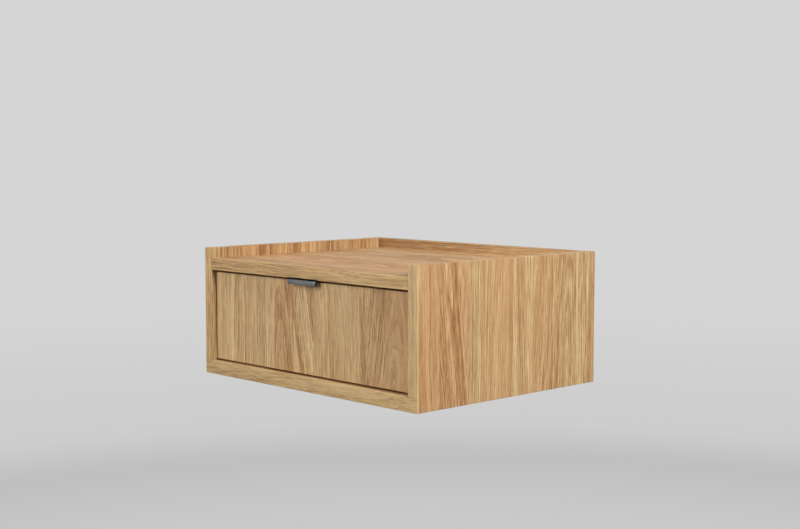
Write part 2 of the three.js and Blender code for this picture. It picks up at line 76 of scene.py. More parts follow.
# The studio is an even pale room with a wide plain floor. The camera sees the floor as a painted glow,
# not as lit paper. It darkens in a soft ring some way off, which is painted shade like that at a paper
# sweep's bend, and then fades into the background.
floor_height = -0.9
floor_reach = 40
near_grey, ring_shade_grey, sweep_grey, room_grey = 0.580, 0.525, 0.608, 0.665
ring_start, ring_radius, ring_end = 1.9, 2.6, 3.35
sweep_start, sweep_end = 3.2, 7.5
shadow_start, shadow_end = 0.4, 1.7  # between these radii the floor stops taking shadows
least_glow = 0.25
paper_tone = 0.25
room_light = 0.03


def feed(tree, slot, value):
    """Links a socket to an input, or sets the input to a value. None leaves it as it is."""
    if isinstance(value, bpy.types.NodeSocket):
        tree.links.new(value, slot)
    elif value is not None:
        slot.default_value = value


def shade(tree, kind, *values, **settings):
    """Adds a shader node with its settings, feeds its inputs in order and returns it."""
    made = tree.nodes.new("ShaderNode" + kind)
    for name, value in settings.items():
        setattr(made, name, value)
    for slot, value in zip(made.inputs, values):
        feed(tree, slot, value)
    return made


def calc(tree, operation, *values):
    """Adds a Math node and returns its output."""
    return shade(tree, "Math", *values, operation=operation).outputs[0]


def rise(tree, value, low, high, bottom=0.0, top=1.0):
    """A smooth step of a value, from bottom at low to top at high."""
    return shade(tree, "MapRange", value, low, high, bottom, top,
                 interpolation_type="SMOOTHSTEP").outputs[0]


def looked_at(tree, *kinds):
    """1 for camera and glossy rays and for rays of the other kinds named, 0 for the rest."""
    rays = shade(tree, "LightPath").outputs
    found = calc(tree, "MAXIMUM", rays["Is Camera Ray"], rays["Is Glossy Ray"])
    for kind in kinds:
        found = calc(tree, "MAXIMUM", found, rays[kind])
    return found


def circle(count):
    """Angles at equal steps round a circle."""
    return np.linspace(0, 2 * math.pi, count, endpoint=False)


def skin(points, wrapped=False):
    """The surface over a grid of points (rows, columns, 3), each cell one quad, and wrapped round
    from the last column to the first where it is closed: (points, quads)."""
    rows, columns = points.shape[:2]
    index = np.arange(rows * columns).reshape(rows, columns)
    if wrapped:
        index = np.concatenate([index, index[:, :1]], axis=1)
    quads = np.stack([index[:-1, :-1], index[1:, :-1], index[1:, 1:], index[:-1, 1:]], axis=-1)
    return points.reshape(-1, 3), quads.reshape(-1, 4)


def mesh_of(name, *skins):
    """One mesh of several surfaces."""
    starts = np.cumsum([0] + [len(points) for points, _ in skins])
    faces = [face for start, (_, quads) in zip(starts, skins) for face in (quads + start).tolist()]
    mesh = bpy.data.meshes.new(name)
    mesh.from_pydata(np.concatenate([points for points, _ in skins]), [], faces)
    return mesh


def placed(name, mesh, material):
    """An object for a mesh that is already in place, with its material."""
    made = bpy.data.objects.new(name, mesh)
    made.data.materials.append(material)
    bpy.context.scene.collection.objects.link(made)
    return made


floor_turns = circle(96)
floor_rings = np.array([0.001, 0.5, 1, 1.5, 2, 2.5, 3, 4, 6, 10, 20, floor_reach])
floor_points = np.stack([np.outer(floor_rings, np.cos(floor_turns)),
                         np.outer(floor_rings, np.sin(floor_turns)),
                         np.full((len(floor_rings), len(floor_turns)), floor_height)], axis=-1)
paper = bpy.data.materials.new("studio_paper")
paper.use_nodes = True
tree = paper.node_tree
tree.nodes.clear()
place = shade(tree, "TexCoord").outputs["Object"]
flat_place = shade(tree, "VectorMath", place, (1, 1, 0), operation="MULTIPLY").outputs[0]
radius = shade(tree, "VectorMath", flat_place, operation="LENGTH").outputs["Value"]
# The camera's floor is a painted glow: lighter near the nightstand, a painted ring of shade about
# ring_radius, then the background's grey further off
near = shade(tree, "MapRange", radius, ring_start, ring_radius, near_grey, ring_shade_grey).outputs[0]
lift = rise(tree, radius, ring_radius, ring_end, 0, sweep_grey - ring_shade_grey)
sweep = shade(tree, "MapRange", radius, sweep_start, sweep_end, 0, room_grey - sweep_grey).outputs[0]
glow = calc(tree, "ADD", near, calc(tree, "ADD", lift, sweep))
glow_colour = shade(tree, "CombineColor", glow, glow, glow).outputs[0]
seen = shade(tree, "Emission", glow_colour, 1.0).outputs[0]
lit = shade(tree, "BsdfDiffuse", (paper_tone, paper_tone, paper_tone, 1)).outputs[0]
fade = rise(tree, radius, shadow_start, shadow_end, least_glow, 1.0)
paper_mix = shade(tree, "MixShader", fade, lit, seen).outputs[0]
paper_top = shade(tree, "MixShader", looked_at(tree), lit, paper_mix).outputs[0]
below = shade(tree, "NewGeometry").outputs["Backfacing"]
clear = shade(tree, "BsdfTransparent").outputs[0]
paper_all = shade(tree, "MixShader", below, paper_top, clear).outputs[0]
shade(tree, "OutputMaterial", paper_all)
floor = placed("floor", mesh_of("floor", skin(floor_points, wrapped=True)), paper)

world = bpy.data.worlds.new("room")
bpy.context.scene.world = world
world.use_nodes = True
tree = world.node_tree
tree.nodes.clear()
ambient = shade(tree, "Background", (1, 1, 1, 1), room_light).outputs[0]
backdrop = shade(tree, "Background", (room_grey, room_grey, room_grey, 1), 1.0).outputs[0]
room = shade(tree, "MixShader", looked_at(tree, "Is Transmission Ray"), ambient, backdrop)
shade(tree, "OutputWorld", room.outputs[0])

# Each lamp's place, the point it is aimed at, its width and height in metres, its power in watts and
# its spread in degrees. The back lamp is low, small and narrow, and lights the nightstand's back.
lamps = {
    "side_lamp": ((2.62, -0.57, 1.30), (0, -0.2, 0), 0.45, 1.0, 82, 180),
    "front_lamp": ((-1.15, -3.10, 1.35), (0, -0.2, 0), 2.6, 2.4, 89, 180),
    "corner_lamp": ((-2.28, -2.40, 0.45), (0, -0.2, 0), 1.6, 1.6, 10, 180),
    "top_lamp": ((0.2, -0.6, 2.4), (0, -0.2, 0), 2.4, 2.4, 15.5, 180),
    "back_lamp": ((-0.1, 1.15, -0.84), (0, 0.2, 0), 0.5, 0.4, 1.8, 70),
}
for name, (spot, aim, wide, tall, power, spread) in lamps.items():
    lamp_data = bpy.data.lights.new(name, "AREA")
    lamp_data.shape = "RECTANGLE"
    lamp_data.size = wide
    lamp_data.size_y = tall
    lamp_data.energy = power
    lamp_data.spread = math.radians(spread)
    lamp = bpy.data.objects.new(name, lamp_data)
    lamp.location = spot
    lamp.rotation_euler = (Vector(aim) - Vector(spot)).to_track_quat("-Z", "Y").to_euler()
    lamp.visible_camera = False
    bpy.context.scene.collection.objects.link(lamp)


# Carcass boards: sides, top, bottom and back of board faced with sawn oak veneer, doweled and glued
# together. Each face is made of leaves of veneer laid side by side. A leaf is cut across the log's
# growth rings, so it shows straight grain far from the heart and pointed arches close to it.
ring_pitch = 0.0044  # metres between growth rings


def linear(red, green, blue):
    """A colour of 0 to 255 on the screen's scale as a linear one."""
    return tuple(((c / 255 + 0.055) / 1.055) ** 2.4 for c in (red, green, blue)) + (1.0,)


def blended(tree, factor, first, second, mode="MIX"):
    """Two colours mixed by a factor."""
    mix = shade(tree, "Mix", factor, data_type="RGBA", blend_type=mode)
    feed(tree, mix.inputs[6], first)
    feed(tree, mix.inputs[7], second)
    return mix.outputs[2]


def group_tree(name, inputs, outputs):
    """A new shader node group with the named sockets: (tree, input sockets, output node)."""
    made = bpy.data.node_groups.new(name, "ShaderNodeTree")
    for label, (kind, value) in inputs.items():
        socket = made.interface.new_socket(label, in_out="INPUT", socket_type="NodeSocket" + kind)
        if value is not None:
            socket.default_value = value
    for label, kind in outputs.items():
        made.interface.new_socket(label, in_out="OUTPUT", socket_type="NodeSocket" + kind)
    entry = made.nodes.new("NodeGroupInput")
    return made, entry.outputs, made.nodes.new("NodeGroupOutput")


def noise(tree, place, scale, seed=0.0, detail=2.0, roughness=0.5):
    """A noise of a place stretched by scale, moved by a seed: (value, colour)."""
    stretched = shade(tree, "VectorMath", place, scale, (seed * 7.3, seed * 3.1, seed * 5.7),
                      operation="MULTIPLY_ADD").outputs[0]
    return shade(tree, "TexNoise", stretched, None, 1.0, detail, roughness, 2.0).outputs


oak_dark = linear(148, 102, 64)
oak_body = linear(193, 150, 104)
oak_pale = linear(221, 187, 138)


def oak_figure():
    """Oak's figure. The way to the log's heart is sqrt(across^2 + depth^2), where depth changes along
    the grain, and the bands, rings and pores follow that way."""
    tree, given, result = group_tree(
        "oak_figure",
        {"Place": ("Vector", None), "Heart": ("Float", 0.0), "Depth": ("Float", 0.03),
         "Slope": ("Float", 0.1), "Lean": ("Float", 0.0), "Bow": ("Float", 0.0),
         "Tone": ("Float", 0.0), "Blush": ("Float", 0.0), "Contrast": ("Float", 1.0),
         "Waver": ("Float", 1.0), "Pale": ("Color", oak_pale), "Body": ("Color", oak_body),
         "Dark": ("Color", oak_dark)},
        {"Color": "Color", "Height": "Float", "Roughness": "Float"})
    place = given["Place"]
    across, along, through = shade(tree, "SeparateXYZ", place).outputs
    drift = shade(tree, "SeparateColor", noise(tree, place, (14, 4.5, 14), 1)[1]).outputs
    ripple = noise(tree, place, (60, 11, 60), 2, 2)[0]
    comb = noise(tree, place, (430, 25, 430), 8, 3, 0.62)[0]

    def swing(value, size):
        """A noise of 0 to 1 as a shift to either side."""
        return calc(tree, "MULTIPLY", calc(tree, "SUBTRACT", value, 0.5),
                    calc(tree, "MULTIPLY", given["Waver"], size))

    side = calc(tree, "SUBTRACT", across, given["Heart"])
    side = calc(tree, "SUBTRACT", side, calc(tree, "MULTIPLY", along, given["Lean"]))
    curve = calc(tree, "MULTIPLY", calc(tree, "MULTIPLY", along, along), given["Bow"])
    side = calc(tree, "SUBTRACT", side, curve)
    side = calc(tree, "ADD", side, swing(drift[0], 0.010))
    side = calc(tree, "ADD", side, swing(ripple, 0.0035))
    rising = calc(tree, "MULTIPLY", along, given["Slope"])
    depth = calc(tree, "ADD", calc(tree, "ADD", given["Depth"], rising), through)
    depth = calc(tree, "ADD", depth, swing(drift[1], 0.02))
    heart_way = calc(tree, "SQRT", calc(tree, "ADD", calc(tree, "MULTIPLY", side, side),
                                        calc(tree, "MULTIPLY", depth, depth)))
    heart_way = calc(tree, "ADD", heart_way, swing(comb, 0.0034))
    followed = shade(tree, "CombineXYZ", heart_way, along, given["Heart"]).outputs[0]
    broad = noise(tree, followed, (90, 3.2, 40), 3, 1)[0]
    bands = rise(tree, noise(tree, followed, (330, 6, 40), 4, 4, 0.7)[0], 0.30, 0.70)
    vigour = noise(tree, followed, (170, 4, 40), 9, 1)[0]
    strip_way = calc(tree, "ADD", calc(tree, "MULTIPLY", heart_way, 66),
                     calc(tree, "MULTIPLY", broad, 3))
    strip_label = calc(tree, "ADD", calc(tree, "FLOOR", strip_way),
                       calc(tree, "MULTIPLY", given["Heart"], 970))
    strip = shade(tree, "SeparateColor", shade(tree, "TexWhiteNoise", None, strip_label,
                                               noise_dimensions="1D").outputs[1]).outputs
    strip_line = rise(tree, calc(tree, "FRACT", strip_way), 0.10, 0.30, 1, 0)
    strip_line = calc(tree, "MULTIPLY", strip_line, rise(tree, strip[2], 0.45, 0.6))
    rings = calc(tree, "FRACT", calc(tree, "ADD", calc(tree, "DIVIDE", heart_way, ring_pitch),
                                     calc(tree, "MULTIPLY", broad, 2.5)))
    early = rise(tree, rings, 0.0, 0.34, 1, 0)
    late = calc(tree, "MULTIPLY", rise(tree, rings, 0.62, 0.80), rise(tree, rings, 0.88, 1.0, 1, 0))
    late = calc(tree, "MULTIPLY", late, rise(tree, vigour, 0.38, 0.66))
    fibre = noise(tree, place, (1100, 22, 1100), 5, 3, 0.65)[0]
    dashes = rise(tree, noise(tree, place, (620, 30, 620), 10, 2, 0.6)[0], 0.34, 0.66)
    clouds = noise(tree, place, (38, 13, 38), 6, 3)[0]
    flecks = noise(tree, place, (2600, 70, 2600), 7, 1)[0]
    pores = calc(tree, "MULTIPLY", rise(tree, flecks, 0.53, 0.70),
                 calc(tree, "MULTIPLY_ADD", early, 0.75, 0.25))

    total = calc(tree, "MULTIPLY_ADD", given["Tone"], 0.5, 0.5)
    for value, size in ((broad, 0.55), (bands, 0.46), (fibre, 1.25), (dashes, 0.34), (clouds, 0.3),
                        (strip[0], 0.34)):
        part = calc(tree, "MULTIPLY", calc(tree, "SUBTRACT", value, 0.5), size)
        total = calc(tree, "MULTIPLY_ADD", part, given["Contrast"], total)
    lines = calc(tree, "SUBTRACT", calc(tree, "MULTIPLY", late, 0.36),
                 calc(tree, "MULTIPLY", early, 0.16))
    lines = calc(tree, "MULTIPLY_ADD", strip_line, 0.26, lines)
    total = calc(tree, "MULTIPLY_ADD", lines, given["Contrast"], total)
    lower = blended(tree, shade(tree, "MapRange", total, 0, 0.5, 0, 1).outputs[0],
                    given["Dark"], given["Body"])
    colour = blended(tree, shade(tree, "MapRange", total, 0.5, 1, 0, 1).outputs[0],
                     lower, given["Pale"])
    redness = calc(tree, "MULTIPLY_ADD", calc(tree, "SUBTRACT", strip[1], 0.5), 0.8, given["Blush"])
    blush = shade(tree, "CombineColor", 1.0, calc(tree, "MULTIPLY_ADD", redness, -0.09, 1),
                  calc(tree, "MULTIPLY_ADD", redness, -0.13, 1))
    colour = blended(tree, 1.0, colour, blush.outputs[0], "MULTIPLY")
    colour = blended(tree, calc(tree, "MULTIPLY", pores, 0.45), colour, given["Dark"], "MULTIPLY")
    tree.links.new(colour, result.inputs["Color"])
    grain = calc(tree, "SUBTRACT", calc(tree, "MULTIPLY", fibre, 0.4), pores)
    tree.links.new(grain, result.inputs["Height"])
    gloss = calc(tree, "MULTIPLY_ADD", pores, 0.2, 0.47)
    tree.links.new(calc(tree, "MULTIPLY_ADD", fibre, 0.08, gloss), result.inputs["Roughness"])
    return tree


oak_group = oak_figure()
face_shift = 0.5  # metres: the leaves of a board's second face are listed this far on
# Each value of a leaf, with the size that spans the 0 to 1 of a ramp's stops
leaf_spans = {"Heart": 2.0, "Depth": 0.4, "Slope": 2.0, "Tone": 4.0,
              "Lean": 1.0, "Blush": 4.0, "Contrast": 4.0, "Bow": 10.0}


def leaf(at, heart, depth=20, slope=0.0, lean=0.0, bow=0.0, tone=0.0, blush=0.0, contrast=1.0):
    """A leaf of veneer: where it starts across the grain, where its heart lies and how deep, in mm,
    how much the heart deepens and moves aside per length, how much it bows aside per length squared,
    and the leaf's tone, blush and contrast."""
    return {"at": at / 1000, "Heart": heart / 1000, "Depth": depth / 1000, "Slope": slope,
            "Lean": lean, "Bow": bow, "Tone": tone, "Blush": blush, "Contrast": contrast}


def surface(name):
    """A new material with a Principled shader: (material, tree, shader, Object coordinates)."""
    material = bpy.data.materials.new(name)
    material.use_nodes = True
    tree = material.node_tree
    return material, tree, tree.nodes["Principled BSDF"], shade(tree, "TexCoord").outputs["Object"]


def laid(tree, place, axes, start):
    """A place counted from a corner, start, along three axes."""
    turn = Matrix(axes)
    return shade(tree, "Mapping", place, -(turn @ Vector(start)), turn.to_euler()).outputs[0]


def dress(tree, shader, colour, roughness, metallic=0.0):
    """Gives a shader its colour and roughness, each a value or a socket, and how metallic it is."""
    feed(tree, shader.inputs["Base Color"], colour)
    feed(tree, shader.inputs["Roughness"], roughness)
    shader.inputs["Metallic"].default_value = metallic


def bumped(tree, shader, height, strength, distance):
    """Bump from a height into a shader's normal."""
    bump = shade(tree, "Bump", strength, distance)
    tree.links.new(height, bump.inputs["Height"])
    tree.links.new(bump.outputs[0], shader.inputs["Normal"])


def oak(name, axes, start, leaves, pale=oak_pale, body=oak_body, dark=oak_dark, waver=1.0,
        second_face=None, painted_light_gain=0.0):
    """Veneer laid in leaves. axes are the directions across and along the grain and out of the face,
    and start is the corner that they count from. Past second_face, a height out of the board, the
    second face's leaves are used. The last argument is what the first face's tone gains per metre of
    grain: painted light and shade, darker at one end of the face and paler towards the other."""
    material, tree, shader, place = surface(name)
    place = laid(tree, place, axes, start)
    across, along, through = shade(tree, "SeparateXYZ", place).outputs
    # painted light and shade: the first face's tone changes along the grain
    painted_gain = calc(tree, "MULTIPLY", along, painted_light_gain)
    if second_face is not None:
        past = calc(tree, "GREATER_THAN", through, second_face)
        painted_gain = calc(tree, "MULTIPLY", painted_gain, calc(tree, "SUBTRACT", 1, past))
        across = calc(tree, "ADD", across, calc(tree, "MULTIPLY", past, face_shift))
        place = shade(tree, "CombineXYZ", across, along, through).outputs[0]
    reach = max(each["at"] for each in leaves) + 0.1
    figure = tree.nodes.new("ShaderNodeGroup")
    figure.node_tree = oak_group
    for labels in (("Heart", "Depth", "Slope", "Tone"), ("Lean", "Blush", "Contrast", "Bow")):
        ramp = shade(tree, "ValToRGB", calc(tree, "DIVIDE", across, reach))
        ramp.color_ramp.interpolation = "CONSTANT"
        stops = ramp.color_ramp.elements
        stops.remove(stops[-1])
        for index, each in enumerate(leaves):
            stop = stops[0] if index == 0 else stops.new(each["at"] / reach)
            stop.color = [0.5 + each[label] / leaf_spans[label] for label in labels]
        packed = [*shade(tree, "SeparateColor", ramp.outputs[0]).outputs, ramp.outputs[1]]
        for label, value in zip(labels, packed):
            middle = calc(tree, "SUBTRACT", value, 0.5)
            amount = calc(tree, "MULTIPLY", middle, leaf_spans[label])
            if label == "Tone":
                amount = calc(tree, "ADD", amount, painted_gain)
            tree.links.new(amount, figure.inputs[label])
    tree.links.new(place, figure.inputs["Place"])
    for label, value in (("Pale", pale), ("Body", body), ("Dark", dark), ("Waver", waver)):
        figure.inputs[label].default_value = value
    dress(tree, shader, figure.outputs["Color"], figure.outputs["Roughness"])
    shader.inputs["Specular IOR Level"].default_value = 0.2
    bumped(tree, shader, figure.outputs["Height"], 0.25, 0.0002)
    return material


def finish_nodes(names, material):
    """Gives CAD nodes a material."""
    for name in names:
        nodes[name].data.materials.clear()
        nodes[name].data.materials.append(material)


x_axis, y_axis, z_axis = Vector((1, 0, 0)), Vector((0, 1, 0)), Vector((0, 0, 1))
upright_side = (y_axis, z_axis, x_axis)
upright_front = (x_axis, z_axis, -y_axis)
level_top = (y_axis, x_axis, -z_axis)
level_front = (z_axis, x_axis, y_axis)

low, high = cad_box
face_depth = 0.0005  # how deep under a board's inner face that face's leaves reach
left_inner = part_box("left_side")[1].x - low.x - face_depth
back_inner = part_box("back_board")[0].y + face_depth
strip_count = 24  # narrow strips of veneer on the left side's inner face
right_oak = oak("oak_right_side", upright_side, (high.x, low.y, low.z), [
    # the first leaf, the 5 mm by the front edge, is pale partly as the veneer's own tone and partly as
    # a painted highlight of the eased front arris
    leaf(0, 90, 20, tone=0.55, blush=-0.6, contrast=0.5),
    leaf(5, -30, 30, slope=0.04, lean=-0.02, tone=-0.10, blush=-0.05, contrast=0.65),
    leaf(45, 118, 22, slope=-0.05, lean=-0.10, tone=-0.34, blush=0.15, contrast=1.05),
    leaf(102, 260, tone=-0.14, blush=-1.05, contrast=0.9),
    leaf(130, 330, 50, slope=0.05, lean=0.02, tone=0.0, blush=-0.45, contrast=0.65),
    leaf(200, 376, 30, lean=-0.05, tone=0.02, blush=-0.95, contrast=0.85),
    leaf(245, 150, 60, lean=0.08, tone=-0.16, blush=-0.2, contrast=0.8),
    leaf(290, 322, 4, slope=0.055, lean=0.05, tone=0.22, blush=-0.75, contrast=1.1),
    leaf(345, 520, 10, tone=0.04, blush=-0.95, contrast=1.35),
    leaf(372, 560, tone=-0.16, blush=-0.85, contrast=0.8)])
strips = np.random.default_rng(5)
strip_starts = np.cumsum(strips.uniform(7, 25, strip_count)) + 3
strip_tones = strips.uniform(-0.48, -0.04, strip_count)
strip_blushes = strips.uniform(-0.9, 0.1, strip_count)
inner_face = [leaf(1000 * face_shift + at, at + 300, tone=tone, blush=blush, contrast=0.8)
              for at, tone, blush in zip(strip_starts, strip_tones, strip_blushes)]
inner_face.insert(0, leaf(1000 * face_shift, 300, tone=0.22, blush=-0.8))
left_oak = oak("oak_left_side", upright_side, low, [
    leaf(0, 210, slope=0.03, tone=0.1), leaf(62, 90, 30, slope=0.06, tone=-0.1, blush=0.7),
    leaf(140, 320, tone=0.15, blush=-0.5), leaf(205, 240, 25, slope=-0.06),
    leaf(285, 480, tone=0.2, lean=0.05), leaf(345, 350, 40, slope=0.06, tone=-0.1, blush=0.5),
    *inner_face], second_face=left_inner)
top_oak = oak("oak_top", level_top, (low.x, low.y, high.z), [
    leaf(0, 320, slope=0.02, tone=-0.2), leaf(70, 100, 25, slope=0.05, tone=-0.15, blush=0.6),
    leaf(160, 420, tone=0.15), leaf(240, 270, 30, slope=-0.05), leaf(330, 600, tone=0.1)])
bottom_oak = oak("oak_bottom", level_top, low, [
    leaf(0, 20, 30, tone=0.1, blush=-0.8), leaf(12, 20, 30, slope=0.06),
    leaf(85, 360, tone=0.12), leaf(165, 190, slope=-0.06, tone=-0.1),
    leaf(250, 520, tone=0.1), leaf(320, 350, 30, slope=0.05, tone=-0.05)])
# The back's inner face is painted dark at its left end and paler along the grain to the right: painted
# shade in the corner by the left rim
back_oak = oak("oak_back", level_front, (low.x, 0, low.z), [
    leaf(0, 255, 25, slope=-0.04, tone=-1.05, blush=-1.3, contrast=0.65),
    leaf(500, 530, 25, slope=0.06), leaf(570, 800, tone=0.1),
    leaf(630, 755, 25, slope=-0.04, tone=-0.36, blush=-1.3, contrast=0.65),
    leaf(706, 710, 25, slope=-0.04, tone=0.12, blush=-1.1, contrast=0.8)],
    second_face=back_inner, painted_light_gain=2.6)
for name, material in (("right_side", right_oak), ("left_side", left_oak), ("top_panel", top_oak),
                       ("bottom_panel", bottom_oak), ("back_board", back_oak)):
    finish_nodes([name], material)


# Edge bands: strips of oak 1 mm thick, glued over the boards' front and upper edges, their arrises
# eased with fine paper. The bottom one runs the full width and the side ones stand on it.
band_colours = {"pale": linear(209, 178, 126), "body": linear(186, 152, 106),
                "dark": linear(149, 112, 71)}
stile_oak = oak("oak_stile_band", upright_front, low, [
    leaf(0, 180, tone=-0.20, blush=0.5, contrast=1.3),
    # the right stile's leaf is painted paler: painted light that evens out the lamps' falloff to the
    # right
    leaf(460, 800, tone=0.62, blush=-0.6, contrast=1.3)], **band_colours)
# The rails' tone pales along their length towards the right: painted light that evens out the lamps'
# falloff to the right
rail_oak = oak("oak_rail_band", level_front, low, [
    leaf(0, 60, 30, slope=0.05, tone=-0.40, blush=-0.2, contrast=1.1),
    leaf(150, 250, 30, slope=-0.05, tone=-0.58, contrast=1.0)], waver=1.6, painted_light_gain=2.3,
    **band_colours)
finish_nodes(["left_front_band", "right_front_band"], stile_oak)
finish_nodes(["top_front_band", "bottom_front_band"], rail_oak)
finish_nodes(["left_top_band"], left_oak)
finish_nodes(["right_top_band"], right_oak)
finish_nodes(["back_top_band"], back_oak)


# Dowels: fluted beech pins, 8 mm thick, glued into the ends of the top, bottom and back boards and
# into the sides. They show only where a board is lifted off.
beech_body = linear(206, 172, 128)
beech_dark = linear(168, 128, 88)


def fine_grain():
    """The grain of a close wood such as beech or birch: long faint streaks, a soft figure and short
    dark flecks, along the place's x."""
    tree, given, result = group_tree(
        "fine_grain",
        {"Place": ("Vector", None), "Body": ("Color", beech_body), "Dark": ("Color", beech_dark),
         "Fleck": ("Float", 0.5)},
        {"Color": "Color", "Height": "Float"})
    place = given["Place"]
    streaks = noise(tree, place, (12, 700, 700), 11, 3, 0.6)[0]
    figure = noise(tree, place, (9, 60, 60), 12, 3, 0.55)[0]
    flecks = rise(tree, noise(tree, place, (210, 1700, 1700), 13, 1)[0], 0.60, 0.72)
    amount = calc(tree, "MULTIPLY_ADD", streaks, 0.7, rise(tree, figure, 0.3, 0.7, 0, 0.35))
    colour = blended(tree, rise(tree, amount, 0.25, 0.95), given["Body"], given["Dark"])
    marks = calc(tree, "MULTIPLY", flecks, given["Fleck"])
    tree.links.new(blended(tree, marks, colour, given["Dark"], "MULTIPLY"), result.inputs["Color"])
    tree.links.new(calc(tree, "SUBTRACT", streaks, marks), result.inputs["Height"])
    return tree


grain_group = fine_grain()


def grained(tree, place, body, dark, fleck):
    """The grain in a material's tree, with its colours: (colour, height)."""
    made = tree.nodes.new("ShaderNodeGroup")
    made.node_tree = grain_group
    tree.links.new(place, made.inputs["Place"])
    for label, value in (("Body", body), ("Dark", dark), ("Fleck", fleck)):
        made.inputs[label].default_value = value
    return made.outputs


beech, tree, shader, place = surface("beech_pin")
colour, height = grained(tree, place, beech_body, beech_dark, 0.7)
dress(tree, shader, colour, 0.7)
bumped(tree, shader, height, 0.3, 0.0002)
finish_nodes([name for name in nodes if "_dowel_" in name], beech)


# Hanging rails: two lengths of one extruded aluminium section. One is screwed to the wall, the other,
# turned over, to the back board, and their hooks drop into each other. The die leaves long fine lines.
rail_break = 0.0003  # the section's rounded arrises
triangle_weld = 0.000001
flat_limit = math.radians(1)
arris_limit = math.radians(40)


def rounded(piece, width, segments=2):
    """Bevels the edges of a piece that are sharper than the limit for arrises."""
    arris = piece.modifiers.new("arris", "BEVEL")
    arris.width = width
    arris.segments = segments
    arris.limit_method = "ANGLE"
    arris.angle_limit = arris_limit


def ease(names, width):
    """Rounds the arrises of CAD nodes, once their triangles are merged to flat faces."""
    for name in names:
        nodes[name].modifiers.new("weld", "WELD").merge_threshold = triangle_weld
        flat = nodes[name].modifiers.new("flats", "DECIMATE")
        flat.decimate_type = "DISSOLVE"
        flat.angle_limit = flat_limit
        rounded(nodes[name], width)


aluminium, tree, shader, place = surface("mill_aluminium")
lines = noise(tree, place, (5, 2100, 2100), 21, 3, 0.7)[0]
marks = noise(tree, place, (60, 240, 240), 22, 3)[0]
shades = blended(tree, lines, (0.66, 0.67, 0.68, 1), (0.80, 0.81, 0.82, 1))
dress(tree, shader, shades, calc(tree, "MULTIPLY_ADD", marks, 0.34, 0.24), 1.0)
bumped(tree, shader, lines, 0.25, 0.00008)
rails = ["wall_rail", "cabinet_rail"]
ease(rails, rail_break)
finish_nodes(rails, aluminium)


# Screws: cold-headed steel, threaded and zinc plated, with a cross recess. The runners', rails' and
# pull's are countersunk, and the four that hold the drawer front have pan heads inside the box.
screw_pitch = 1.3  # millimetres, as all the sizes of screws
thread_rise = 0.35
thread_gap = 0.4  # bare shank under the head
ridge_width = 0.4  # of the pitch
rows_per_pitch = 6
point_end = 0.02  # the point's end, of the shank under its thread
pan_wall, pan_round, pan_dome = 0.9, 0.8, 0.35  # a pan head's heights, from its rim to its middle
flat_rim = ((0.12, 0.16), (0, 0.08), (0.04, 0))  # a flat head's edge: in from its radius, and down
recess_arm = 0.58  # of the head's radius
recess_wide, recess_taper = 1.25, 0.5  # of its half width: in the middle, and less at an arm's end
recess_slope, recess_end = 0.25, 0.3  # its walls, of its half width, and its arms' ends, of the arm
recess_deep, recess_least = 1.5, 0.6  # its depth: of its half width, and what is added
shell_weld = 0.0000005  # metres
smooth_limit = math.radians(35)
screw_kinds = {  # head's radius and depth, crown, shank's radius, length, tip, recess's half width
    "runner": (3.1, 1.05, 0, 1.5, 11, 2, 0.34),
    "rail": (4.0, 2.0, 0, 1.8, 12, 2.5, 0.45),
    "pull": (3.2, 1.8, 0, 1.4, 17, 2.5, 0.38),
    "pan": (4.0, 0, 2.4, 1.9, 24, 3, 0.45),
}
screws = {
    "runner": [f"{side}_{member}_member_screw_{number}" for member in ("cabinet", "drawer")
               for side in ("left", "right") for number in (1, 2)],
    "rail": [f"cabinet_rail_screw_{number}" for number in (1, 2, 3)],
    "pull": ["pull_screw_left", "pull_screw_right"],
    "pan": [f"front_screw_{number}" for number in (1, 2, 3, 4)],
}


def all_round(values, turns):
    """A value for each ring, repeated for each turn."""
    return np.repeat(np.asarray(values, float)[:, None], turns, axis=1)


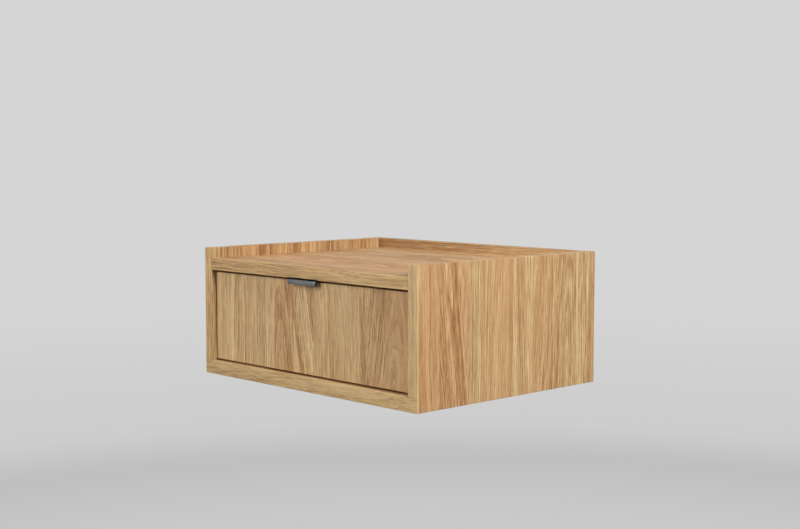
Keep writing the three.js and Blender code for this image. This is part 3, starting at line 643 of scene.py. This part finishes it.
def screw_skin(kind):
    """A screw along +z, its point down and its seat or flush face at 0: one turned surface. The radius
    follows the head's and shank's profile, a ridge runs round the shank once a pitch, and the head's
    face sinks in a cross that gets narrower and deeper towards the middle."""
    head, sink, crown, shank, length, tip, slot = screw_kinds[kind]
    turns = circle(48)
    below = np.linspace(-length, -sink - thread_gap, int(length / screw_pitch * rows_per_pitch))
    point = np.clip((below + length) / tip, 0, 1)[:, None]
    phase = (turns[None] / (2 * math.pi) + below[:, None] / screw_pitch) % 1
    ridge = np.clip(1 - np.abs(phase - 0.5) * 2 / ridge_width, 0, 1) * thread_rise
    shaft = (shank - thread_rise) * np.maximum(point, point_end) + ridge * point
    if crown:
        round_off = np.linspace(0, math.pi / 2, 7)[:-1]
        rim_radius = np.concatenate([[shank, head], head - pan_round + pan_round * np.cos(round_off)])
        rim_height = np.concatenate([[0, 0], pan_wall + pan_round * np.sin(round_off)])
    else:
        rim_radius = np.array([shank, *(head - inset for inset, _ in flat_rim)])
        rim_height = np.array([-sink, *(-drop for _, drop in flat_rim)])
    inward = np.linspace(1, 0, 15)[1:] ** 0.8
    face_height = rim_height[-1] + (pan_dome if crown else 0) * (1 - inward ** 2)
    outer = all_round(np.concatenate([rim_radius, rim_radius[-1] * inward]), len(turns))
    radii = np.concatenate([shaft, outer])
    levels = all_round(np.concatenate([below, rim_height, face_height]), len(turns))
    x, y = radii * np.cos(turns), radii * np.sin(turns)
    arm = recess_arm * head
    cross = np.minimum(np.abs(x), np.abs(y))
    reach = np.hypot(x, y)
    half_width = slot * (recess_wide - recess_taper * reach / arm)
    wall = np.clip((half_width - cross) / (recess_slope * slot), 0, 1)
    end = np.clip((arm - reach) / (recess_end * arm), 0, 1)
    sunk = wall * end * (recess_deep * slot + recess_least)
    sunk[:-len(inward)] = 0
    points = np.stack([x, y, levels - sunk], axis=-1)
    return skin(np.concatenate([points, np.tile(points[-1:].mean(axis=1, keepdims=True),
                                                (1, len(turns), 1))]), wrapped=True)


def fine_mesh(name, skins):
    """One mesh of surfaces in millimetres."""
    return mesh_of(name, *[(points / 1000, quads) for points, quads in skins])


def smoothed(mesh):
    """Shades a mesh smooth except at its sharp edges."""
    mesh.polygons.foreach_set("use_smooth", np.full(len(mesh.polygons), True))
    mesh.set_sharp_from_angle(angle=smooth_limit)
    return mesh


def closed_mesh(mesh):
    """Merges a closed shell's doubles, turns its faces outwards, and smooths it."""
    work = bmesh.new()
    work.from_mesh(mesh)
    bmesh.ops.remove_doubles(work, verts=work.verts, dist=shell_weld)
    bmesh.ops.recalc_face_normals(work, faces=work.faces)
    work.to_mesh(mesh)
    work.free()
    return smoothed(mesh)


def stands_for(piece, node, body):
    """A finer piece takes a CAD node's place: it rides on its body, and the node is hidden."""
    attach(piece, body)
    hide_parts(node)


zinc_bright, tree, shader, place = surface("zinc_plate")
spangle = noise(tree, place, (900, 900, 900), 31, 3)[0]
wear = noise(tree, place, (90, 90, 90), 32, 4, 0.6)[0]
plated = blended(tree, spangle, (0.60, 0.62, 0.66, 1), (0.80, 0.80, 0.79, 1))
plated = blended(tree, rise(tree, wear, 0.5, 0.75, 0, 0.3), plated, (0.52, 0.51, 0.46, 1))
dress(tree, shader, plated, calc(tree, "MULTIPLY_ADD", wear, 0.25, 0.22), 1.0)
bumped(tree, shader, spangle, 0.1, 0.00005)

screw_aims = {"rail": y_axis, "pull": z_axis, "pan": y_axis}
drawer_screws = ("front_screw", "pull_screw", "drawer_member_screw")
screw_places = {}
for kind, names in screws.items():
    _, _, crown, _, length, _, _ = screw_kinds[kind]
    for name in names:
        sideways = x_axis if name.startswith("left") == ("cabinet" in name) else -x_axis
        out = screw_aims.get(kind, sideways)
        lower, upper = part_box(name)
        face = (lower + upper) / 2 + out * ((length + crown) / 2 - crown) / 1000
        turn = out.to_track_quat("Z", "Y").to_matrix().to_4x4()
        mesh = fine_mesh(name + "_finish", [screw_skin(kind)])
        mesh.transform(Matrix.Translation(face) @ turn)
        piece = placed(name + "_finish", closed_mesh(mesh), zinc_bright)
        body = "drawer" if any(part in name for part in drawer_screws) else "carcass"
        stands_for(piece, name, body)
        screw_places[name] = (face, out)


# Runner members: channels rolled from steel sheet 1.2 mm thick and zinc plated. The cabinet's is the
# widest, and each flange curls into a track for the balls that carry the next member inside it.
sheet = 1.2  # millimetres, as all the sizes of runners
outer_ball = (4.75, 19.2, 1.8)  # out from the carcass's side, up from the runner's middle, radius
inner_ball = (7.1, 14.1, 1.5)
ball_play = 0.3
web_places = {"cabinet": 0.6, "middle": 3.0, "drawer": 12.1}
web_start = 0.5  # a section's upper half starts this far over its middle
web_bends = {"cabinet": (2.0, 17.35), "middle": (0.7, 15.96), "drawer": (1.4, 10.3)}  # radius, height
member_bodies = {"cabinet": "carcass", "drawer": "drawer"}
slot_places = {"cabinet": (75, 130, 170, 225), "middle": (40, 150, 260),
               "drawer": (30, 105, 150, 195)}
slot_size = (3.5, 2.3, 1.5)  # half the way between the ends' middles, radius, punch's half depth
axis_radius = 0.001  # a punch closes to this at its ends
box_low, box_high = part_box("left_cabinet_member")
side_face = -1000 * box_low.x
runner_middle = 500 * (box_low.z + box_high.z)
runner_ends = (1000 * box_low.y, 1000 * box_high.y)


def arc(middle, radius, start, end, steps):
    """Points of an arc between two angles in degrees."""
    angles = np.radians(np.linspace(start, end, steps + 1))
    return np.stack([middle[0] + radius * np.cos(angles), middle[1] + radius * np.sin(angles)], -1)


def bent_sheet(upper, thickness):
    """The outline of a symmetric bent sheet from the upper half of its middle line: the line and its
    mirror image, moved half the thickness to each side along the mean normal of its runs."""
    line = np.concatenate([upper[::-1] * (1, -1), upper])
    runs = np.diff(line, axis=0)
    runs /= np.linalg.norm(runs, axis=1, keepdims=True)
    normals = np.stack([-runs[:, 1], runs[:, 0]], -1)
    before = np.concatenate([normals[:1], normals])
    after = np.concatenate([normals, normals[-1:]])
    corner = before + after
    corner /= (corner * before).sum(axis=1, keepdims=True)
    return np.concatenate([line + corner * thickness / 2, (line - corner * thickness / 2)[::-1]])


def drawn_out(outline, side, low, high):
    """A runner's section (out from the carcass's side, up) carried along y between two places, with
    its ends closed by quads between the sheet's faces. side is -1 for the left runner, else 1."""
    half = len(outline) // 2
    x = side * (side_face - outline[:, 0])
    z = runner_middle + outline[:, 1]
    ends = [np.stack([x, np.full(len(x), y), z], -1) for y in (low, high)]
    caps = [skin(np.stack([end[:half], end[half:][::-1]])) for end in ends]
    return [skin(np.stack(ends), wrapped=True), *caps]


def web_bend(member, way, start, end, steps):
    """The arc from a member's web into its flange, which folds out from the web or, at -1, back."""
    radius, height = web_bends[member]
    return arc((web_places[member] + way * radius, height), radius, start, end, steps)


track_outer = outer_ball[2] + ball_play + sheet / 2
track_inner = inner_ball[2] + ball_play + sheet / 2
member_curves = {  # each section's middle line after its web: its bends and tracks
    "cabinet": (web_bend("cabinet", 1, 180, 145, 5), arc(outer_ball, track_outer, 145, -20, 16)),
    "middle": (web_bend("middle", 1, 180, 80, 7), arc(outer_ball, track_outer, -105, -90, 3),
               arc(inner_ball, track_inner, 90, -15, 12)),
    "drawer": (web_bend("drawer", -1, 0, 90, 7), arc(inner_ball, track_inner, -90, -135, 6)),
}


def turned_skin(profile, turns=32):
    """A solid turned about z from a profile of (radius, height) points, its ends close to the axis."""
    angles = circle(turns)
    radius, height = np.asarray(profile, float).T
    return skin(np.stack([np.outer(radius, np.cos(angles)), np.outer(radius, np.sin(angles)),
                          all_round(height, turns)], -1), wrapped=True)


def bore_skin(shank, head, neck, depth):
    """A punch for a countersunk hole, its face at 0: the shank's radius, the head's, how deep the
    cone reaches and how deep the punch does."""
    return turned_skin([(axis_radius, -depth), (shank, -depth), (shank, -neck), (head, 0), (head, 1),
                        (axis_radius, 1)])


def punched(piece, cutters):
    """Cuts meshes out of a piece, with its other modifiers applied first."""
    tool_mesh = closed_mesh(mesh_of("punch", *cutters))
    tool = bpy.data.objects.new("punch", tool_mesh)
    bpy.context.scene.collection.objects.link(tool)
    cut = piece.modifiers.new("cut", "BOOLEAN")
    cut.operation = "DIFFERENCE"
    cut.solver = "EXACT"
    cut.object = tool
    seen = piece.evaluated_get(bpy.context.evaluated_depsgraph_get())
    finished = bpy.data.meshes.new_from_object(seen)
    piece.modifiers.clear()
    piece.data = finished
    bpy.data.objects.remove(tool)
    bpy.data.meshes.remove(tool_mesh)
    smoothed(finished)


def moved(part, spot, out):
    """A surface made round z in millimetres, put at a spot in metres with z turned to point out."""
    points, quads = part
    turn = np.array(out.to_track_quat("Z", "Y").to_matrix())
    return points / 1000 @ turn.T + np.array(spot), quads


def slot_skin(half_length, radius, depth):
    """A round-ended slot's punch: its outline carried through the sheet, closed at both ends."""
    angles = circle(24)
    x = radius * np.cos(angles)
    y = radius * np.sin(angles)
    y += np.where(y >= 0, half_length, -half_length)
    rows = [np.stack([x * size, y * size, np.full(len(angles), level)], -1) for size, level in
            ((axis_radius, -depth), (1, -depth), (1, depth), (axis_radius, depth))]
    return skin(np.stack(rows), wrapped=True)


rolled_zinc, tree, shader, place = surface("rolled_zinc_sheet")
rolled = noise(tree, place, (1400, 14, 1400), 41, 3, 0.65)[0]
bloom = noise(tree, place, (55, 30, 55), 42, 4, 0.6)[0]
tint = blended(tree, rise(tree, bloom, 0.35, 0.7), (0.62, 0.64, 0.68, 1), (0.76, 0.75, 0.72, 1))
tint = blended(tree, calc(tree, "MULTIPLY", rolled, 0.35), tint, (0.45, 0.46, 0.47, 1))
haze = calc(tree, "ADD", rolled, bloom)
dress(tree, shader, tint, calc(tree, "MULTIPLY_ADD", haze, 0.18, 0.2), 1.0)
bumped(tree, shader, rolled, 0.15, 0.00006)

member_bore = bore_skin(1.6, 3.2, 1.15, 9)
for side_name, side in (("left", 1), ("right", -1)):
    for member, curves in member_curves.items():
        name = side_name + "_" + member + "_member"
        outline = bent_sheet(np.concatenate([[[web_places[member], web_start]], *curves]), sheet)
        mesh = fine_mesh(name + "_rolled", drawn_out(outline, -side, *runner_ends))
        piece = placed(name + "_rolled", closed_mesh(mesh), rolled_zinc)
        cutters = [moved(member_bore, *place) for screw, place in screw_places.items()
                   if screw.startswith(name + "_screw")]
        for along in slot_places[member]:
            spot = Vector((side * (web_places[member] - side_face), runner_ends[0] + along,
                           runner_middle)) / 1000
            cutters.append(moved(slot_skin(*slot_size), spot, x_axis))
        punched(piece, cutters)
        stands_for(piece, name, member_bodies.get(member, side_name + "_middle"))


# Ball cages: thin steel strips folded to a channel, with a row of steel balls held in each leg. They
# keep the balls apart and travel midway between the two members that the balls run in.
cage_sheet = 0.5
cage_fold = 70  # degrees that a leg turns from the web
cage_lip = 0.9  # from a ball's middle out to the leg's edge
cage_end = 5  # from the strip's end to the first ball's middle
balls_in_row = 9
cages = {  # how far the strip's web is from the carcass's side, its bends' radius, and its balls
    "outer": (1.8, 1.6, outer_ball),
    "inner": (4.2, 1.4, inner_ball),
}


def ball_skin(at, radius):
    """A ball: circles of latitude shrinking towards both poles."""
    rises = np.radians(np.linspace(-89.9, 89.9, 11))
    points, quads = turned_skin(np.stack([radius * np.cos(rises), radius * np.sin(rises)], -1), 16)
    return points + at, quads


cage_steel, tree, shader, place = surface("oiled_steel")
film = noise(tree, place, (120, 60, 120), 51, 4, 0.6)[0]
oiled = blended(tree, film, (0.38, 0.39, 0.40, 1), (0.62, 0.62, 0.61, 1))
dress(tree, shader, oiled, calc(tree, "MULTIPLY_ADD", film, 0.3, 0.12), 1.0)
bumped(tree, shader, film, 0.1, 0.00005)

for side_name, side in (("left", 1), ("right", -1)):
    for cage, (web, bend, (ball_out, ball_up, ball_radius)) in cages.items():
        name = side_name + "_" + cage + "_ball_cage"
        turn = math.radians(cage_fold)
        slope = 1 / math.tan(turn)
        leg = ball_out - (web + bend - bend * math.cos(turn))
        foot = ball_up - bend * math.sin(turn) - leg * slope
        line = np.concatenate([[[web, web_start]],
                               arc((web + bend, foot), bend, 180, 180 - cage_fold, 6),
                               [[ball_out + cage_lip, ball_up + cage_lip * slope]]])
        near, far = (1000 * corner.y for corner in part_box(name))
        strip = drawn_out(bent_sheet(line, cage_sheet), -side, near, far)
        along = np.linspace(near + cage_end, far - cage_end, balls_in_row)
        balls = [ball_skin((side * (ball_out - side_face), y, runner_middle + level * ball_up),
                           ball_radius) for y in along for level in (-1, 1)]
        mesh = fine_mesh(name + "_balls", strip + balls)
        piece = placed(name + "_balls", closed_mesh(mesh), cage_steel)
        stands_for(piece, name, side_name + "_" + cage + "_cage")


# Drawer front: a board 19 mm thick, faced with upright oak leaves on both sides. It sits a little
# behind the carcass's edges, and four pan screws from inside the drawer box hold it.
front_oak = oak("oak_drawer_front", upright_front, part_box("drawer_front")[0], [
    leaf(0, 90, 40, slope=0.03, tone=-0.06, blush=-0.3, contrast=0.8),
    leaf(38, 330, lean=0.02, tone=0.02, blush=-0.6, contrast=1.0),
    leaf(73, 260, 40, slope=0.02, tone=-0.24, blush=-0.4, contrast=0.9),
    leaf(150, 170, 6, slope=0.12, lean=-0.03, tone=-0.8, blush=0.5, contrast=0.95),
    leaf(198, 300, 14, lean=-0.20, tone=-0.15, blush=0.2, contrast=1.2),
    leaf(246, 420, 26, slope=0.02, bow=-0.3, tone=-0.10, blush=0.1, contrast=1.1),
    leaf(278, 500, 30, bow=-0.5, tone=-0.09, contrast=0.9),
    leaf(323, 700, 40, tone=-0.14, contrast=1.1),
    leaf(366, 520, 16, lean=0.16, tone=-0.28, blush=0.4, contrast=1.2),
    leaf(404, 424, 5, slope=0.15, lean=0.05, tone=-0.40, blush=0.2, contrast=0.65)],
    pale=linear(216, 186, 136), body=linear(193, 158, 112), dark=linear(148, 108, 68))
finish_nodes(["drawer_front"], front_oak)


# Drawer box: birch plywood 12 mm thick, tongued and grooved at the corners, with a 6 mm bottom let
# into a groove all round. The faces are peeled birch and the cut edges show the plies.
birch_body = linear(222, 194, 150)
birch_dark = linear(190, 154, 108)
ply_dark = linear(158, 118, 78)
ply, ply_waver = 0.0015, 0.0004  # metres: a ply's thickness and how much its edge wanders
cover_start, cover_end = 0.0006, 0.0007  # the faces' own ply ends between these depths
box_break = 0.0007  # the upright boards' rounded arrises


def plywood(name, axes, start, plies):
    """Birch plywood. axes are the directions along the face's grain, across it and through the board,
    start is the corner that they count from, and plies is how many of them it has."""
    material, tree, shader, place = surface(name)
    place = laid(tree, place, axes, start)
    along, across, through = shade(tree, "SeparateXYZ", place).outputs
    wander = noise(tree, place, (26, 26, 300), 61, 2)[0]
    level = calc(tree, "MULTIPLY_ADD", calc(tree, "SUBTRACT", wander, 0.5), ply_waver, through)
    layer = calc(tree, "DIVIDE", level, ply)
    crossed = calc(tree, "MODULO", calc(tree, "FLOOR", layer), 2)
    thick = plies * ply
    beyond = rise(tree, through, thick - cover_end, thick - cover_start)
    inner = calc(tree, "MULTIPLY", rise(tree, through, cover_start, cover_end),
                 calc(tree, "SUBTRACT", 1, beyond))
    crossed = calc(tree, "MULTIPLY", crossed, inner)
    turned_place = shade(tree, "CombineXYZ", across, along, through).outputs[0]
    straight = grained(tree, place, birch_body, birch_dark, 0.35)
    across_grain = grained(tree, turned_place, birch_dark, ply_dark, 0.6)
    colour = blended(tree, crossed, straight[0], across_grain[0])
    joint = calc(tree, "SUBTRACT", 1, rise(tree, calc(tree, "PINGPONG", layer, 0.5), 0.0, 0.09))
    joint = calc(tree, "MULTIPLY", joint, inner)
    colour = blended(tree, calc(tree, "MULTIPLY", joint, 0.5), colour, ply_dark, "MULTIPLY")
    dress(tree, shader, colour, 0.5)
    shader.inputs["Specular IOR Level"].default_value = 0.35
    height = calc(tree, "SUBTRACT", straight[1], calc(tree, "MULTIPLY", joint, 2))
    bumped(tree, shader, height, 0.3, 0.00012)
    return material


upright_boards = {"box_left_side": upright_side, "box_right_side": upright_side,
                  "box_front": (x_axis, z_axis, y_axis), "box_back": (x_axis, z_axis, y_axis)}
for name, axes in upright_boards.items():
    finish_nodes([name], plywood("plywood_" + name, axes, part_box(name)[0], 8))
ease(upright_boards, box_break)
box_bottom = plywood("plywood_box_bottom", (x_axis, y_axis, z_axis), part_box("box_bottom")[0], 4)
finish_nodes(["box_bottom"], box_bottom)


# Tab pull: a strip of steel 2.5 mm thick, folded once and sprayed satin gunmetal. Its leg is screwed
# down on the drawer front's top edge and its lip hangs over the face, leaning out a little.
pull_low, pull_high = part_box("pull_tab")
pull_thickness = 2.5  # millimetres, as the other sizes here
pull_lean = 0.85
pull_lip = 7.8
pull_taper = 0.8
pull_bend, pull_inner_bend = 2.0, 1.4
pull_columns = 9
pull_break = 0.0003  # metres, the strip's rounded arrises


def pull_skins():
    """The folded strip. Its section's outer and inner face are lines of equal count round the fold,
    carried across x from one end to the other; the half width shrinks down the lip."""
    top, rear = 1000 * pull_high.z, 1000 * pull_high.y
    front = 1000 * pull_low.y + pull_lean
    foot = top - pull_lip
    outer = np.concatenate([[[front - pull_lean, foot]],
                            arc((front + pull_bend, top - pull_bend), pull_bend, 180, 90, 8),
                            [[rear, top]]])
    inside = front + pull_thickness
    under = top - pull_thickness
    inner = np.concatenate([[[inside - pull_lean, foot]],
                            arc((inside + pull_inner_bend, under - pull_inner_bend),
                                pull_inner_bend, 180, 90, 8),
                            [[rear, under]]])
    across = np.linspace(-1, 1, pull_columns)[:, None]

    def face(line):
        """A face of the strip, from a line of its section."""
        drop = np.clip((under - line[:, 1]) / (under - foot), 0, 1)
        x = across * (1000 * pull_high.x - pull_taper * drop)
        return np.stack([x, *(np.broadcast_to(line[:, axis], x.shape) for axis in (0, 1))], -1)

    loop = np.concatenate([face(outer), face(inner)[:, ::-1]], axis=1)
    ends = [np.stack([face(outer)[end], face(inner)[end]]) for end in (0, -1)]
    return [skin(loop, wrapped=True), *[skin(end) for end in ends]]


gunmetal, tree, shader, place = surface("satin_gunmetal")
orange_peel = noise(tree, place, (1500, 1500, 1500), 71, 2)[0]
rubbed = noise(tree, place, (70, 70, 70), 72, 4, 0.6)[0]
sprayed = blended(tree, rise(tree, rubbed, 0.4, 0.75), (0.066, 0.069, 0.070, 1),
                  (0.085, 0.086, 0.086, 1))
dress(tree, shader, sprayed, calc(tree, "MULTIPLY_ADD", rubbed, 0.12, 0.26), 1.0)
bumped(tree, shader, orange_peel, 0.2, 0.00004)

pull = placed("pull_folded", closed_mesh(fine_mesh("pull_folded", pull_skins())), gunmetal)
rounded(pull, pull_break, 3)
pull_bore = bore_skin(1.5, 3.3, 1.9, 5)
punched(pull, [moved(pull_bore, *screw_places[name]) for name in screws["pull"]])
stands_for(pull, "pull_tab", "drawer")
